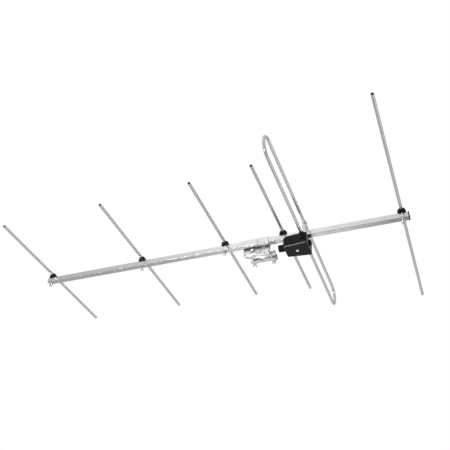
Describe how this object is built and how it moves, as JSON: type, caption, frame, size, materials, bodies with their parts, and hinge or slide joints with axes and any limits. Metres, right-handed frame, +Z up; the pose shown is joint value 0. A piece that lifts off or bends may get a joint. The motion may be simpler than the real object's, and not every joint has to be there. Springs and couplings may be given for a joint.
{
  "type": "yagi antenna",
  "caption": "Yagi antenna on a square boom: rod directors, folded dipole with feed box, reflector, a V-jaw mast clamp and folding rods held by wing nuts.",
  "frame": {"origin": "mast seat: on the axis of the vertical mast held in the clamp, level with the two clamp bolts", "axes": "+X along the boom from the directors to the reflector, +Y from the boom towards the mast jaw, +Z up along the mast"},
  "size_m": [1.2792, 0.8836, 0.1113],
  "materials": {
    "boom_aluminium": "bright drawn, fine lengthwise lines",
    "element_aluminium": "bright drawn tube",
    "dipole_aluminium": "polished tube",
    "bracket_aluminium": "satin pressed strip",
    "clamp_zinc": "bright zinc plated pressed sheet",
    "zinc_steel": "bright zinc plated",
    "dark_steel": "dark passivated",
    "lid_screw_steel": "plated screw head",
    "black_plastic": "moulded, weatherproof",
    "box_plastic": "moulded, semi-gloss",
    "seal_rubber": "matt rubber",
    "circuit_board": "solder-resist green",
    "ferrite": "fired ferrite",
    "copper_wire": "enamelled copper",
    "brass": "bright brass",
    "nickel_brass": "nickel plated",
    "white_insulator": "white polymer"
  },
  "bodies": {
    "antenna_frame": {"boom": "boom_aluminium", "boom_rear_cap": "black_plastic", "boom_front_plug": "black_plastic", "element_bolts": "zinc_steel", "element_head_washers": "zinc_steel", "element_nut_washers": "zinc_steel", "folded_dipole": "dipole_aluminium", "dipole_post": "bracket_aluminium", "post_rivet": "zinc_steel", "post_screw": "zinc_steel", "mast_bracket": "clamp_zinc", "boom_strap_front": "clamp_zinc", "boom_strap_rear": "clamp_zinc", "clamp_bolts": "zinc_steel", "strap_bolts": "zinc_steel", "strap_nuts": "zinc_steel", "earth_bolt": "zinc_steel", "earth_nuts": "dark_steel", "earth_washers": "dark_steel", "feed_box_shell": "box_plastic", "feed_box_lid": "box_plastic", "lid_screw": "lid_screw_steel", "lid_seal": "seal_rubber", "circuit_board": "circuit_board", "balun_core": "ferrite", "balun_winding": "copper_wire", "terminal_straps": "brass", "terminal_screws": "brass", "box_screws": "zinc_steel", "coax_socket": "nickel_brass", "socket_nut": "nickel_brass", "socket_insulator": "white_insulator", "socket_contact": "brass", "box_rear_cap": "black_plastic"},
    "director_4_rod": {"director_4_tube": "element_aluminium", "director_4_end_plugs": "black_plastic", "director_4_cradle": "black_plastic"},
    "director_4_nut": {"director_4_wing_nut": "zinc_steel"},
    "director_3_rod": {"director_3_tube": "element_aluminium", "director_3_end_plugs": "black_plastic", "director_3_cradle": "black_plastic"},
    "director_3_nut": {"director_3_wing_nut": "zinc_steel"},
    "director_2_rod": {"director_2_tube": "element_aluminium", "director_2_end_plugs": "black_plastic", "director_2_cradle": "black_plastic"},
    "director_2_nut": {"director_2_wing_nut": "zinc_steel"},
    "director_1_rod": {"director_1_tube": "element_aluminium", "director_1_end_plugs": "black_plastic", "director_1_cradle": "black_plastic"},
    "director_1_nut": {"director_1_wing_nut": "zinc_steel"},
    "reflector_rod": {"reflector_tube": "element_aluminium", "reflector_end_plugs": "black_plastic", "reflector_cradle": "black_plastic"},
    "reflector_nut": {"reflector_wing_nut": "zinc_steel"},
    "jaw": {"mast_jaw": "clamp_zinc", "jaw_washers": "zinc_steel"},
    "jaw_nut_front": {"jaw_wing_nut_front": "zinc_steel"},
    "jaw_nut_rear": {"jaw_wing_nut_rear": "zinc_steel"}
  },
  "joints": [
    {"name": "director_4_fold", "type": "hinge", "parent": "antenna_frame", "child": "director_4_rod", "pos_m": [-0.7939, -0.035, 0.0442], "axis": [0, 0, 1], "range_deg": [0, 78]},
    {"name": "director_3_fold", "type": "hinge", "parent": "antenna_frame", "child": "director_3_rod", "pos_m": [-0.4204, -0.035, 0.0442], "axis": [0, 0, 1], "range_deg": [0, 78]},
    {"name": "director_2_fold", "type": "hinge", "parent": "antenna_frame", "child": "director_2_rod", "pos_m": [-0.1106, -0.035, 0.0442], "axis": [0, 0, 1], "range_deg": [0, 78]},
    {"name": "director_1_fold", "type": "hinge", "parent": "antenna_frame", "child": "director_1_rod", "pos_m": [0.0869, -0.035, 0.0442], "axis": [0, 0, 1], "range_deg": [0, 78]},
    {"name": "reflector_fold", "type": "hinge", "parent": "antenna_frame", "child": "reflector_rod", "pos_m": [0.4494, -0.035, 0.0442], "axis": [0, 0, 1], "range_deg": [0, 78]},
    {"name": "director_4_nut_spin", "type": "hinge", "parent": "antenna_frame", "child": "director_4_nut", "pos_m": [-0.7939, -0.035, 0.011], "axis": [0, 0, 1], "continuous": true},
    {"name": "director_3_nut_spin", "type": "hinge", "parent": "antenna_frame", "child": "director_3_nut", "pos_m": [-0.4204, -0.035, 0.011], "axis": [0, 0, 1], "continuous": true},
    {"name": "director_2_nut_spin", "type": "hinge", "parent": "antenna_frame", "child": "director_2_nut", "pos_m": [-0.1106, -0.035, 0.011], "axis": [0, 0, 1], "continuous": true},
    {"name": "director_1_nut_spin", "type": "hinge", "parent": "antenna_frame", "child": "director_1_nut", "pos_m": [0.0869, -0.035, 0.0525], "axis": [0, 0, 1], "continuous": true},
    {"name": "reflector_nut_spin", "type": "hinge", "parent": "antenna_frame", "child": "reflector_nut", "pos_m": [0.4494, -0.035, 0.011], "axis": [0, 0, 1], "continuous": true},
    {"name": "jaw_slide", "type": "slide", "parent": "antenna_frame", "child": "jaw", "axis": [0, 1, 0], "range_m": [-0.015, 0.011]},
    {"name": "jaw_nut_front_spin", "type": "hinge", "parent": "jaw", "child": "jaw_nut_front", "pos_m": [-0.033, 0.0325, 0], "axis": [0, 1, 0], "continuous": true},
    {"name": "jaw_nut_rear_spin", "type": "hinge", "parent": "jaw", "child": "jaw_nut_rear", "pos_m": [0.033, 0.0325, 0], "axis": [0, 1, 0], "continuous": true}
  ],
  "couplings": [
    {"joint": "director_1_fold", "follows": "reflector_fold", "ratio": 1},
    {"joint": "director_2_fold", "follows": "reflector_fold", "ratio": 1}
  ]
}
